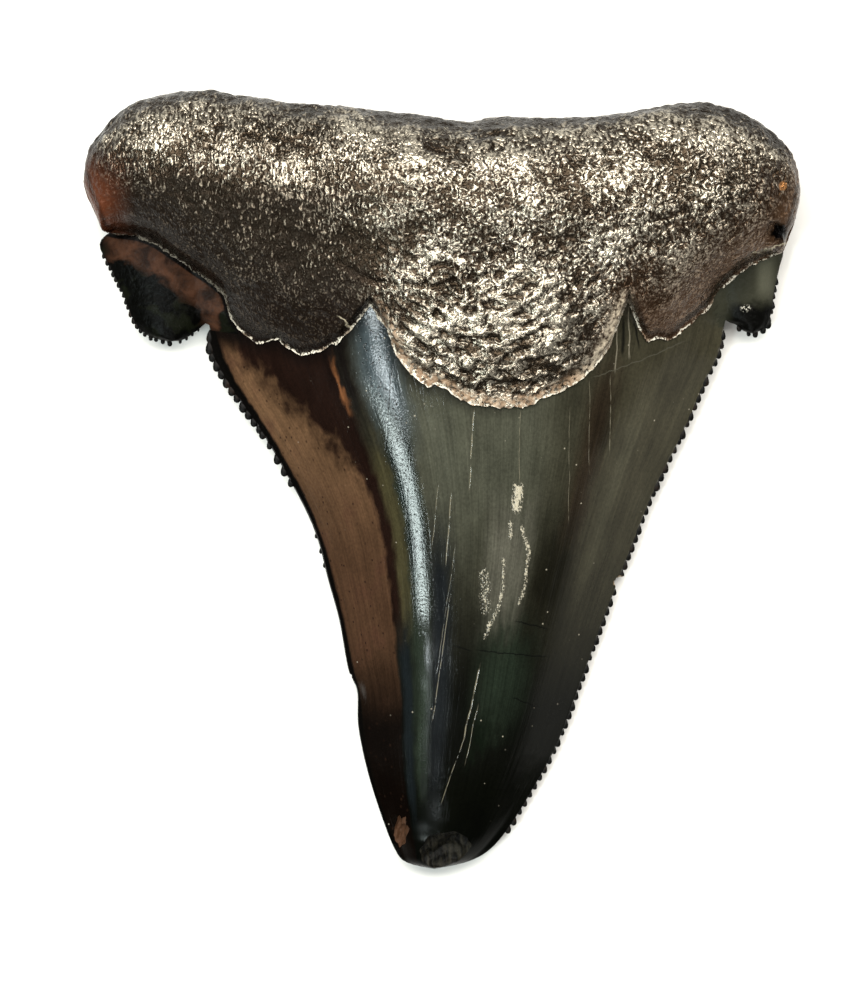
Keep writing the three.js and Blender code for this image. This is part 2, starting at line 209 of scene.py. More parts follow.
def across_share(lobe, x, y):
    return (2 * x - lobe["left"](y) - lobe["right"](y)) / (lobe["right"](y) - lobe["left"](y))


def enamel_at(x, y):
    """Height of the highest enamel at a place, or 0 where there is none."""
    found = 0.0
    for lobe in enamel_lobes:
        u = across_share(lobe, x, y)
        height = lobe["edge"](y) + (lobe["crest"](y) - lobe["edge"](y)) * lobe["dome"](u, y)
        found = np.maximum(found, np.where(np.abs(u) < 1, height, 0))
    return found


def enamel_rows(lobe):
    """Rows of points over one lobe, shaped (rows, points, 3)."""
    rows, inner_steps, outer_steps = lobe["steps"]
    middle, arch_from, arch_to = lobe["arch"]
    t = np.arange(rows) / rows
    free = lerp(arch_to, lobe["foot"], lerp(t, np.sin(t * np.pi / 2), 0.4))
    row_y = np.concatenate([[arch_to + above for above in UNDER_ROOT], free])[:, None]

    even = np.linspace(-1, 1, inner_steps + 1)
    inner_u = lerp(even, np.sin(even * np.pi / 2), 0.5)
    outer_u = np.sin(np.linspace(1, -1, outer_steps + 1) * np.pi / 2)
    u = np.concatenate([inner_u, outer_u])[None, :]
    is_inner = np.arange(u.shape[1])[None, :] <= inner_steps

    level = lerp(lobe["left"](row_y), lobe["right"](row_y), (u + 1) / 2)
    y = row_y + (outer_margin(level) - outer_margin(middle)) * smoothstep(row_y, arch_from, arch_to)
    x = lerp(lobe["left"](y), lobe["right"](y), (u + 1) / 2)
    x += (lobe["cut_left"](y) - lobe["left"](y)) * smoothstep(-u, WEB_FROM, 1)
    x += (lobe["cut_right"](y) - lobe["right"](y)) * smoothstep(u, WEB_FROM, 1)
    edge = lobe["edge"](y)
    inner_z = edge + EDGE_THICKNESS / 2 + (lobe["crest"](y) - edge) * lobe["dome"](u, y)
    rise = np.clip((np.abs(u) - FLAT_SHARE) / (1 - FLAT_SHARE), 0, 1) ** 1.8
    sunk = np.where(row_y > arch_to + UNDER_ROOT[-1] / 2, SUNK * (1 - rise), 0)
    outer_z = lerp(lobe["back"](y), edge - EDGE_THICKNESS / 2, rise) + sunk
    return np.stack([x, y, np.where(is_inner, inner_z, outer_z)], axis=-1)


def grid_normals(grid):
    """Outward normals of a closed-ring grid of points."""
    along = np.gradient(grid, axis=0)
    around = np.roll(grid, -1, axis=1) - np.roll(grid, 1, axis=1)
    normal = np.cross(along, around)
    return normal / np.maximum(np.linalg.norm(normal, axis=-1, keepdims=True), 1e-9)


def loft_mesh(name, rings, start, end):
    """A closed mesh through rings of points in millimetres, with a point at each end."""
    count, width, _ = rings.shape
    points = np.vstack([[start], rings.reshape(-1, 3), [end]])
    points[:, 2] = np.maximum(points[:, 2], 0)
    index = 1 + np.arange(count * width).reshape(count, width)
    beside = np.roll(index, -1, axis=1)
    quads = np.stack([index[:-1], index[1:], beside[1:], beside[:-1]], axis=-1).reshape(-1, 4)
    faces = [tuple(quad) for quad in quads.tolist()]
    faces += [(0, a, b) for a, b in zip(index[0].tolist(), beside[0].tolist())]
    faces += [(len(points) - 1, b, a) for a, b in zip(index[-1].tolist(), beside[-1].tolist())]
    mesh = bpy.data.meshes.new(name)
    mesh.from_pydata((points * MM).tolist(), [], faces)
    return mesh


def new_object(name, mesh):
    made = bpy.data.objects.new(name, mesh)
    bpy.context.collection.objects.link(made)
    return made


def noise_over(points, size, seed):
    """Smooth noise from -1 to 1 at each point, for lumps of about the given size in millimetres."""
    flat = points.reshape(-1, 3) / size + seed
    values = np.fromiter((noise.noise(Vector(p)) for p in flat.tolist()), float, len(flat))
    return values.reshape(points.shape[:-1])


enamel_pieces = []
for name, lobe in zip(("blade", "left_cusplet", "right_cusplet"), enamel_lobes):
    rings = enamel_rows(lobe)
    swell = WAVINESS * noise_over(rings * (1, 0.45, 1), 3.0, seed=7.0)
    middle_share = 1 - np.abs(across_share(lobe, rings[..., 0], rings[..., 1])) ** 4
    rings[..., 2] += swell * np.clip(middle_share, 0, 1) * (rings[..., 2] > 0.5)
    foot = lobe["foot"]
    tip = ((lobe["left"](foot) + lobe["right"](foot)) / 2, foot, lobe["edge"](foot))
    enamel_pieces.append(new_object(name, loft_mesh(name, rings, rings[0].mean(axis=0), tip)))

# ------------------------------------------------------------------ serrations
# The cutting edges carry small rounded teeth of black enamel, about one to a millimetre, each hanging
# towards the tip like a drop. They are grown with the blade, and are worn off over the rest of both edges.

# One drop's size, how uneven the drops are, and how far they stray along the edge.
DROP = dict(Length=1.15 * MM, Reach=0.4 * MM, Height=0.22 * MM, Unevenness=0.2, Straying=0.1 * MM, Seed=5)

# Each run: a line, its lobe, the heights it runs between, its pitch and the size of its teeth.
SERRATED = [
    (BLADE_LEFT, blade, 14.6, 5.2, 0.95, 1.2),
    (BLADE_LEFT, blade, 4.9, -0.2, 1.25, 1.1),
    (BLADE_LEFT, blade, -5.4, -8.4, 1.3, 0.6),
    (BLADE_RIGHT, blade, 14.8, -9.3, 0.94, 1.0),
    (BLADE_RIGHT, blade, -10.8, -34.8, 0.98, 0.92),
    (LEFT_CUSPLET_OUTER, left_cusplet, 22.6, 14.0, 0.62, 0.66),
    (LEFT_CUSPLET_INNER, left_cusplet, 15.2, 14.1, 0.6, 0.5),
    (RIGHT_CUSPLET_OUTER, right_cusplet, 20.2, 16.2, 0.7, 0.72),
    (RIGHT_CUSPLET_OUTER, right_cusplet, 16.0, 14.85, 0.72, 1.1),
    (RIGHT_CUSPLET_INNER, right_cusplet, 15.5, 14.9, 0.6, 0.85),
]

edge_mesh = bpy.data.meshes.new("cutting_edges")
edge_points, edge_pairs, pitches, sizes = [], [], [], []
for outline, lobe, high, low, pitch, size in SERRATED:
    line = smooth_line(outline)
    run = line[(line[:, 1] <= high) & (line[:, 1] >= low)]
    first = len(edge_points)
    edge_points += [(x * MM, y * MM, float(lobe["edge"](y)) * MM) for x, y in run]
    edge_pairs += [(i, i + 1) for i in range(first, len(edge_points) - 1)]
    pitches += [pitch * MM] * len(run)
    sizes += [size] * len(run)
edge_mesh.from_pydata(edge_points, edge_pairs, [])
for name, values in dict(pitch=pitches, size=sizes).items():
    edge_mesh.attributes.new(name, "FLOAT", "POINT").data.foreach_set("value", values)
cutting_edges = new_object("cutting_edges", edge_mesh)


class Wire:
    """A node's output, on which plain arithmetic makes the next nodes."""

    def __init__(self, sheet, socket):
        self.sheet, self.socket = sheet, socket

    def math(self, operation, other=0.0):
        return self.sheet.wire("ShaderNodeMath", {0: self, 1: other}, operation=operation)

    def __add__(self, other):
        return self.math("ADD", other)

    def __sub__(self, other):
        return self.math("SUBTRACT", other)

    def __rsub__(self, other):
        return self.math("MULTIPLY", -1.0) + other

    def __mul__(self, other):
        return self.math("MULTIPLY", other)

    def __abs__(self):
        return self.math("ABSOLUTE")

    def or_more(self, other):
        return self.math("MAXIMUM", other)

    def rise(self, low, high):
        """From 0 at low to 1 at high, softly; high may be below low."""
        ends = {"Value": self, "From Min": low, "From Max": high}
        return self.sheet.wire("ShaderNodeMapRange", ends, interpolation_type="SMOOTHSTEP")

    def between(self, low, high, soft):
        """1 between low and high, falling to 0 over a soft width at both ends."""
        return self.rise(low - soft, low + soft) * self.rise(high + soft, high - soft)


class NodeSheet:
    """A node tree that is put together one node at a time."""

    def __init__(self, tree):
        self.tree = tree

    def plug(self, socket, value):
        if isinstance(value, Wire):
            self.tree.links.new(value.socket, socket)
        else:
            socket.default_value = value

    def node(self, kind, inputs=None, **settings):
        made = self.tree.nodes.new(kind)
        for name, value in settings.items():
            setattr(made, name, value)
        for name, value in (inputs or {}).items():
            self.plug(made.inputs[name], value)
        return made

    def wire(self, kind, inputs=None, out=0, **settings):
        return Wire(self, self.node(kind, inputs, **settings).outputs[out])

    def vector(self, operation, inputs, out=0):
        return self.wire("ShaderNodeVectorMath", inputs, out, operation=operation)

    def parts(self, vector):
        return [Wire(self, part) for part in self.node("ShaderNodeSeparateXYZ", {0: vector}).outputs]


def serration_tree():
    """Drops along each line, at the pitch and size that it carries, no two quite alike."""
    tree = bpy.data.node_groups.new("serrations", "GeometryNodeTree")
    sheet = NodeSheet(tree)
    kinds = dict(Edges="Geometry", Enamel="Material", Seed="Int")
    kinds.update(dict.fromkeys(("Length", "Reach", "Height", "Unevenness", "Straying"), "Float"))
    for name, kind in kinds.items():
        tree.interface.new_socket(name, in_out="INPUT", socket_type="NodeSocket" + kind)
    tree.interface.new_socket("Serrations", in_out="OUTPUT", socket_type="NodeSocketGeometry")
    group = sheet.node("NodeGroupInput")
    given = {name: Wire(sheet, group.outputs[name]) for name in kinds}

    def carried(name):
        return sheet.wire("GeometryNodeInputNamedAttribute", {"Name": name}, data_type="FLOAT")

    def chance(low, high, **more):
        ends = {2: low, 3: high, "Seed": given["Seed"], **more}
        return sheet.wire("FunctionNodeRandomValue", ends, out=1, data_type="FLOAT")

    line = sheet.wire("GeometryNodeMeshToCurve", {"Mesh": given["Edges"]})
    spacing = {"Curve": line, "Length": carried("pitch")}
    even = sheet.wire("GeometryNodeResampleCurve", spacing, mode="LENGTH")
    along = sheet.wire("GeometryNodeInputTangent")

    # Each drop points a little along the edge, and mostly down towards the tip.
    hanging = sheet.vector("MULTIPLY_ADD", {0: along, 1: (0.15, 0.15, 0.15), 2: (0, -0.85, 0)})
    flat = sheet.wire("FunctionNodeAlignRotationToVector", {"Vector": hanging}, axis="X")
    level = sheet.wire("FunctionNodeAlignRotationToVector", {
        "Rotation": flat, "Vector": (0, 0, 1)}, axis="Z", pivot_axis="X")
    stray = chance(given["Straying"] * -1.0, given["Straying"])
    step = sheet.vector("SCALE", {0: along, "Scale": stray})
    strayed = sheet.wire("GeometryNodeSetPosition", {"Geometry": even, "Offset": step})
    size = chance(1.0 - given["Unevenness"], given["Unevenness"] + 1.0, ID=7) * carried("size")

    # One drop: round and full at the end towards the tip of the tooth, and drawn out towards the root.
    ball = sheet.wire("GeometryNodeMeshUVSphere", {"Segments": 10, "Rings": 8, "Radius": 0.5})
    lying = sheet.wire("GeometryNodeTransform", {"Geometry": ball, "Rotation": (0, np.pi / 2, 0)})
    x, y, z = sheet.parts(sheet.wire("GeometryNodeInputPosition"))
    swell = x * 0.8 + 0.74
    drawn_out = sheet.wire("ShaderNodeCombineXYZ", {0: x, 1: y * swell, 2: z * swell})
    drop = sheet.wire("GeometryNodeSetPosition", {"Geometry": lying, "Position": drawn_out})
    extent = sheet.wire("ShaderNodeCombineXYZ", {
        0: given["Length"], 1: given["Reach"] * 2.0, 2: given["Height"] * 2.0})
    scaled = sheet.vector("SCALE", {0: extent, "Scale": size})

    drops = sheet.wire("GeometryNodeInstanceOnPoints", {
        "Points": strayed, "Instance": drop, "Rotation": level, "Scale": scaled})
    real = sheet.wire("GeometryNodeRealizeInstances", {0: drops})
    finished = sheet.wire("GeometryNodeSetMaterial", {"Geometry": real, "Material": given["Enamel"]})
    sheet.node("NodeGroupOutput", {0: finished})
    return tree


def applied(made):
    """A mesh of an object as its modifiers leave it."""
    return bpy.data.meshes.new_from_object(made.evaluated_get(bpy.context.evaluated_depsgraph_get()))


serration_material = bpy.data.materials.new("serration_enamel")

modifier = cutting_edges.modifiers.new("serrations", "NODES")
modifier.node_group = serration_tree()
sockets = {item.name: item.identifier for item in modifier.node_group.interface.items_tree}
for name, value in dict(DROP, Enamel=serration_material).items():
    modifier[sockets[name]] = value
serrations = new_object("serrations", applied(cutting_edges))
bpy.data.objects.remove(cutting_edges)

# ------------------------------------------------------------------ root
# The root is porous bone-like dentine, swollen over the inner face into two lobes and a tongue. Its skin
# thins out to a scalloped margin on the enamel. Slices across it run from that margin over the crest,
# round the upper edge and along the outer face.

ROOT_TOP = [
    (-ROOT_HALF_WIDTH, 30.1), (-35.3, 32.2), (-34.3, 34.3), (-32.2, 36.6), (-28.6, 38.3), (-24.4, 38.85),
    (-20.5, 38.4), (-15.0, 37.6), (-8.0, 37.0), (-1.5, 36.2), (2.9, 35.6), (5.6, 36.0), (13.0, 36.1),
    (18.6, 36.7), (23.0, 37.5), (26.6, 37.5), (30.2, 36.5), (33.2, 34.4), (35.1, 31.4),
    (ROOT_HALF_WIDTH, 28.8),
]
ROOT_MARGIN = [
    (-ROOT_HALF_WIDTH, 30.1), (-35.5, 29.2), (-35.1, 28.1), (-34.6, 27.0), (-33.9, 25.0), (-32.4, 24.6),
    (-30.6, 24.4), (-28.9, 23.8), (-27.1, 22.6), (-25.0, 21.1), (-22.9, 19.7), (-21.7, 18.6), (-21.2, 16.4),
    (-20.4, 15.2), (-18.4, 13.6), (-16.3, 14.0), (-15.2, 13.1), (-14.0, 12.4), (-12.4, 12.8), (-10.6, 13.5),
    (-9.3, 14.6), (-8.4, 15.6), (-7.1, 17.3), (-6.2, 15.9), (-5.4, 14.9), (-4.7, 12.6), (-3.4, 10.9),
    (-1.5, 9.2), (-0.6, 9.6), (1.7, 8.1), (3.5, 7.4), (5.9, 7.3), (7.9, 7.2), (9.8, 8.1), (11.9, 8.9),
    (13.9, 10.1), (15.4, 11.6), (16.6, 13.3), (17.5, 15.6), (18.4, 17.8), (18.9, 16.6), (19.6, 15.0),
    (20.3, 13.9), (21.6, 14.2), (22.7, 14.0), (23.4, 14.4), (24.5, 15.5), (26.8, 17.4), (27.6, 18.8),
    (29.3, 20.5), (31.3, 21.7), (33.9, 22.8), (34.6, 24.6), (35.1, 26.0), (35.5, 27.6),
    (ROOT_HALF_WIDTH, 28.8),
]
ROOT_FALL = [
    (-ROOT_HALF_WIDTH, 30.1), (-33.6, 25.4), (-28.0, 22.4), (-20.0, 15.2), (-14.0, 13.0), (-7.0, 13.2),
    (0.0, 9.6), (7.0, 7.6), (13.0, 10.2), (18.5, 13.8), (23.0, 14.8), (29.0, 19.4), (33.8, 23.0),
    (ROOT_HALF_WIDTH, 28.8),
]
TONGUE_X = 5
ROOT_CREST, LOBE_CREST = 16.4, 13.6
BELLY_MIDDLE, BELLY_END = 8.0, 6.2
SHOULDER, HEEL = 8.5, 6.5
ROOT_SKIN, RIM_WIDTH = 0.4, 1.3
SLOPE_STEPS, SHOULDER_STEPS, HEEL_STEPS, SOLE_STEPS, INSIDE_STEPS = 78, 32, 14, 28, 2
SLICE_EVERY = 0.27
FRAY = 0.26  # how far the margin strays from its outline
LOBE_END = (31.5, 34.6)  # where a lobe's section turns into its egg-shaped end
PIT, PIT_RADII, PIT_DEPTH = (33.3, 24.8), (1.0, 0.8), 0.9

root_top, root_fall = reading(ROOT_TOP), reading(ROOT_FALL)


def end_rounding(x, start):
    return np.sqrt(1 - np.clip((np.abs(x) - start) / (ROOT_HALF_WIDTH - start), 0, 1) ** 2)


def root_belly(x):
    return lerp(BELLY_MIDDLE, BELLY_END, smoothstep(np.abs(x), 12, 34))


def root_crest(x):
    return lerp(root_belly(x), lerp(LOBE_CREST, ROOT_CREST, bell(x - 1.5, 19)), end_rounding(x, 18))


def outer_face(x, y):
    pad = 0.75 * bell(np.abs(x) - 17, 6) * bell(y - 28, 4)
    groove = 1.5 * bell(x, 4.5) * smoothstep(y, 20, 27)
    return lerp(root_belly(x), 0.35 - pad + groove, end_rounding(x, 26))


def margin_stations():
    """Places along the margin at even steps, so that its steep notches are followed too."""
    line = np.array(ROOT_MARGIN)
    run = np.concatenate([[0], np.cumsum(np.linalg.norm(np.diff(line, axis=0), axis=1))])
    at = np.linspace(0, run[-1], int(run[-1] / SLICE_EVERY))[1:-1]
    return np.interp(at, run, line[:, 0]), np.interp(at, run, line[:, 1]), at


def root_rings():
    x, margin, at = margin_stations()
    fray = [noise.noise(Vector((s / 0.9, 3, 0))) + 0.9 * noise.noise(Vector((s / 0.45, 9, 0))) for s in at]
    margin = margin + FRAY * np.array(fray) * (1 - smoothstep(np.abs(x), 31, 33))
    x, margin = x[:, None], margin[:, None]
    top = root_top(x)
    depth = top - margin
    crest_y = top - np.minimum(SHOULDER, 0.5 * depth)
    heel = np.minimum(HEEL, 0.5 * depth)
    fall = np.minimum(root_fall(x), top - 0.6 * depth)
    foot = np.minimum(outer_margin(x), top - heel - 0.5)
    belly, crest = root_belly(x), root_crest(x)
    lip = enamel_at(x, fall) + ROOT_SKIN

    # The slope from the margin up to the crest: a lobe is round, and the middle is stepped.
    y = lerp(margin, crest_y, np.arange(SLOPE_STEPS)[None, :] / SLOPE_STEPS)
    t = np.clip((crest_y - y) / (crest_y - fall), 0, 1)
    stepped = 0.3 * smoothstep(t, 0, 0.4) + 0.2 * t + 0.5 * t**4
    drop = lerp(t**2.2, stepped, bell(x - 3, 15))
    face = np.maximum(lerp(crest, lip, drop), enamel_at(x, y) + ROOT_SKIN)
    rim = 1 - smoothstep(y - margin, 0, RIM_WIDTH)
    slope = np.stack([y, lerp(face, enamel_at(x, y) + ROOT_SKIN, rim)], axis=-1)

    angle = np.pi / 2 * np.arange(SHOULDER_STEPS)[None, :] / SHOULDER_STEPS
    shoulder = np.stack([lerp(crest_y, top, np.sin(angle)), lerp(belly, crest, np.cos(angle))], axis=-1)
    angle = np.pi / 2 * np.arange(HEEL_STEPS)[None, :] / HEEL_STEPS
    turned = np.stack([
        top - heel * (1 - np.cos(angle)),
        lerp(belly, outer_face(x, top - heel), np.sin(angle)),
    ], axis=-1)
    y = lerp(top - heel, foot, np.linspace(0, 1, SOLE_STEPS + 1)[None, :])
    sole = np.stack([y, outer_face(x, y)], axis=-1)
    t = (np.arange(INSIDE_STEPS)[None, :] + 1) / (INSIDE_STEPS + 1)
    inside = np.stack([
        lerp(foot - 0.5, margin + 0.5, t),
        lerp(outer_face(x, foot) + 1, enamel_at(x, margin) - 1, t),
    ], axis=-1)
    seated = np.concatenate([slope, shoulder, turned, sole, inside], axis=1)

    # A lobe's free end is egg-shaped, with the same points spread round it.
    quarters = (SLOPE_STEPS, SHOULDER_STEPS, HEEL_STEPS, SOLE_STEPS + 1 + INSIDE_STEPS)
    angle = np.concatenate([np.pi / 2 * (k + np.arange(n) / n) for k, n in enumerate(quarters)])
    middle = (top + margin) / 2
    pole = np.where(angle < np.pi, crest, outer_face(x, middle))
    egg = np.stack([
        middle - (top - margin) / 2 * np.cos(angle),
        lerp(belly, pole, np.abs(np.sin(angle))),
    ], axis=-1)
    free = smoothstep(np.abs(x), *LOBE_END)[..., None]
    section = lerp(seated, egg, free)
    across = np.broadcast_to(x, section.shape[:2])
    return np.concatenate([across[..., None], section], axis=-1), margin


def pebbles_over(points, size, seed):
    """Rounded cells with creases between them, from 0 in a crease to about 1 on a pebble."""
    flat = points.reshape(-1, 3) / size + seed
    values = np.empty(len(flat))
    for i, p in enumerate(flat.tolist()):
        near = noise.voronoi(Vector(p))[0]
        values[i] = near[1] - near[0]
    return np.minimum(values.reshape(points.shape[:-1]) * 1.8, 1) ** 0.7


# Each crack in the root's skin: its line and its depth.
ROOT_CRACKS = [
    ([(-10.5, 21.6), (-8.2, 20.2), (-6.4, 19.4), (-4.4, 19.3)], 0.35),
    ([(-3.8, 19.4), (-1.2, 19.0), (1.0, 19.5), (3.6, 19.9)], 0.45),
    ([(-1.5, 15.2), (0.6, 14.3), (3.2, 13.8), (6.0, 14.1)], 0.3),
    ([(3.5, 33.9), (5.2, 34.2), (7.4, 34.1)], 0.35),
]


def root_relief(points, margin):
    """How far the root's skin is pushed out: lumps, pebbles, ripples on the tongue, cracks and a pit."""
    x, y = points[..., 0], points[..., 1]
    above = y - margin
    inner = points[..., 2] > root_belly(x)
    on_tongue = bell(x - TONGUE_X, 11) * (1 - smoothstep(y, 19, 26)) * inner
    smooth_flank = (1 - smoothstep(above, 2.0, 8.0)) * smoothstep(np.abs(x - TONGUE_X), 9, 14) * inner
    lumps = 0.3 * noise_over(points, 4.2, 11.0) + 0.18 * noise_over(points, 2.0, 5.0)
    pebbled = 0.17 * (pebbles_over(points, 1.3, 2.0) - 0.5)
    bent = points + 1.2 * noise_over(points, 3.0, 21.0)[..., None]
    along_margin = [bent[..., 0] * 0.5, above * 0.85 + 0.3 * bent[..., 1], bent[..., 2] * 0.2]
    ripples = 0.5 * (0.6 - 2 * np.abs(noise_over(np.stack(along_margin, axis=-1), 1.0, 31.0)) ** 0.8)
    relief = lumps + pebbled + ripples * on_tongue
    relief *= lerp(1.0, 0.35, smooth_flank)
    relief *= smoothstep(above, 0.1, 1.2) * inner + 0.5 * ~inner
    for line, depth in ROOT_CRACKS:
        away = np.abs(y - np.interp(x, *zip(*line)))
        inside = (x > line[0][0]) & (x < line[-1][0]) & inner
        relief -= depth * bell(away, 0.3) * inside
    pit = ((x - PIT[0]) / PIT_RADII[0]) ** 2 + ((y - PIT[1]) / PIT_RADII[1]) ** 2
    return relief - PIT_DEPTH * np.exp(-pit) * inner


rings, ring_margin = root_rings()
relief = root_relief(rings, ring_margin)
rings = rings + grid_normals(rings) * relief[..., None]
relief_places = KDTree(relief.size)
for number, place in enumerate((rings.reshape(-1, 3) * MM).tolist()):
    relief_places.insert(place, number)
relief_places.balance()
left_end, right_end = (*ROOT_MARGIN[0], BELLY_END), (*ROOT_MARGIN[-1], BELLY_END)
root = new_object("root_body", loft_mesh("root_body", rings, left_end, right_end))

# ------------------------------------------------------------------ the whole tooth
# Root, blade, cusplets and serrations grew as one body, so they are fused here. The tip and the edges
# are then broken as they are on this tooth, down to the paler dentine inside.

# Each scar: its middle, its half widths and how far it is turned.
SCARS = [
    ((0.3, -37.3, 5.0), (3.3, 2.2, 2.5), 0.3),
    ((-4.8, -36.4, 3.6), (1.1, 3.0, 1.5), -0.35),
    ((-9.8, -19.9, 1.6), (0.9, 0.8, 1.2), 0.5),
    ((17.9, -10.1, 1.8), (0.7, 0.6, 1.0), 0.4),
]
SCAR_SEED_STEP = 7.3  # so that no two scars are alike

enamel_material = bpy.data.materials.new("enamel")
cusplet_material = bpy.data.materials.new("cusplet_enamel")
root_material = bpy.data.materials.new("root")
dentine_material = bpy.data.materials.new("broken_dentine")


def scar_cutter(middle, half_widths, turn, seed):
    """A lump with an uneven, fibrous face."""
    shape = bmesh.new()
    bmesh.ops.create_icosphere(shape, subdivisions=5, radius=1)
    for corner in shape.verts:
        p = corner.co.copy()
        fibre = noise.noise(Vector((p.x * 9 + seed, p.y * 1.5, p.z * 2)))
        lump = noise.noise(p * 2.4 + Vector((seed, 0, 0)))
        corner.co = p * (1 + 0.06 * fibre + 0.22 * lump)
    place = Matrix.Translation(Vector(middle) * MM) @ Matrix.Rotation(turn, 4, "Z")
    stretch = Matrix.Diagonal((*(s * MM for s in half_widths), 1))
    bmesh.ops.transform(shape, matrix=place @ stretch, verts=shape.verts)
    mesh = bpy.data.meshes.new("scar")
    shape.to_mesh(mesh)
    shape.free()
    mesh.materials.append(dentine_material)
    return new_object("scar", mesh)


def fuse(body, other, operation):
    """Joins or cuts two closed meshes, and keeps each one's material on its own faces."""
    modifier = body.modifiers.new(operation, "BOOLEAN")
    modifier.operation, modifier.solver, modifier.object = operation, "MANIFOLD", other
    modifier.material_mode = "TRANSFER"
    joined = applied(body)
    body.modifiers.remove(modifier)
    body.data = joined
    bpy.data.objects.remove(other)


root.data.materials.append(root_material)
for piece, material in zip(enamel_pieces, (enamel_material, cusplet_material, cusplet_material)):
    piece.data.materials.append(material)

tooth, *cusplets = enamel_pieces
for piece in [*cusplets, serrations, root]:
    fuse(tooth, piece, "UNION")
for number, scar in enumerate(SCARS):
    fuse(tooth, scar_cutter(*scar, seed=number * SCAR_SEED_STEP), "DIFFERENCE")
tooth.name = tooth.data.name = "shark_tooth"
tooth_mesh = tooth.data


def vectors(items, name):
    """The same vector of every item, as rows of an array."""
    values = np.empty(len(items) * 3)
    items.foreach_get(name, values)
    return values.reshape(-1, 3)


# For the finishes, each point of the tooth carries its share across the blade, how far it is past the
# root's margin, how smooth, how polished and how lit by painted light, and how raised the root is there,
# and whether it is on the domed inner face.
points = vectors(tooth_mesh.vertices, "co") / MM
facing = vectors(tooth_mesh.vertex_normals, "vector")
x, y = points[:, 0], points[:, 1]

margin_line = np.array(ROOT_MARGIN)
margin_gap = np.full(len(points), np.inf)
for start, stop in zip(margin_line, margin_line[1:]):
    span = stop - start
    share = np.clip(((points[:, :2] - start) @ span) / (span @ span), 0, 1)
    near = start + share[:, None] * span
    margin_gap = np.minimum(margin_gap, np.linalg.norm(points[:, :2] - near, axis=1))
margin_side = np.sign(y - np.interp(x, margin_line[:, 0], margin_line[:, 1]))

# The root is smooth on both flanks. It is most polished and lightest over its upper part and on the swell
# of the tongue, and dullest and darkest on the flanks and along its very top. The gloss is real, and the
# lightness of these zones is painted light and shade, as light falls from above.
ROOT_DEPTH = 24
wander = 2.2 * noise_over(points, 6.0, 41.0)
off_tongue = smoothstep(np.abs(x - TONGUE_X + wander), 8, 14)
smooth_root = off_tongue * (1 - smoothstep(y + wander - root_fall(x), 2.5, 10.5))
down_root = np.clip((root_top(x) - y + 0.4 * wander) / ROOT_DEPTH, 0, 1)
polish_and_painted_light = lerp(1.0, lerp(0.35, 0.92, smoothstep(x, -16, 0)), smoothstep(down_root, 0.27, 0.42))
on_bulge = smoothstep(down_root, 0.46, 0.58) * (1 - off_tongue)
polish_and_painted_light = lerp(polish_and_painted_light, lerp(0.2, 0.5, smoothstep(x, 0, 20)), smooth_root)
polish_and_painted_light = lerp(polish_and_painted_light, 1.0, on_bulge) * lerp(0.3, 1.0, smoothstep(down_root, 0.0, 0.08))
relief_near = np.array([relief.flat[relief_places.find(place)[1]] for place in (points * MM).tolist()])
attributes = dict(
    across=np.clip(across_share(blade, x, y), -1.2, 1.2),
    past_margin=margin_gap * margin_side,
    smooth_root=smooth_root,
    polish_and_painted_light=polish_and_painted_light,
    relief=relief_near,
    inner_face=smoothstep(facing[:, 2], -0.1, 0.2),
)
for name, values in attributes.items():
    tooth_mesh.attributes.new(name, "FLOAT", "POINT").data.foreach_set("value", values.astype(np.float32))

# The corners of the blade beside the notches are as dull as the cusplets.
LEFT_CORNER, RIGHT_CORNER = (-20.4, 14.9), (27.6, 15.4)
slots = {material.name: number for number, material in enumerate(tooth_mesh.materials)}
for face in tooth_mesh.polygons:
    at = face.center / MM
    in_left = at.x < LEFT_CORNER[0] and at.y > LEFT_CORNER[1]
    in_right = at.x > RIGHT_CORNER[0] and at.y > RIGHT_CORNER[1]
    if face.material_index == slots["enamel"] and (in_left or in_right):
        face.material_index = slots["cusplet_enamel"]

# The surface is smooth, apart from folds sharper than about 70 degrees and where two materials meet.
FOLD_COSINE = 0.35
tooth_mesh.shade_smooth()
shape = bmesh.new()
shape.from_mesh(tooth_mesh)
for edge in shape.edges:
    if len(edge.link_faces) == 2:
        a, b = edge.link_faces
        if a.material_index != b.material_index or a.normal.dot(b.normal) < FOLD_COSINE:
            edge.smooth = False
shape.to_mesh(tooth_mesh)
shape.free()

LIT = 0.41  # a surface's own brightness, as a share of what it shows


def tint(red, green, blue):
    """The surface's own colour, from the 0 to 255 values that it shows under bright lamps."""
    shown = [((c / 255 + 0.055) / 1.055) ** 2.4 if c > 10 else c / 255 / 12.92 for c in (red, green, blue)]
    return (*(LIT * c for c in shown), 1)


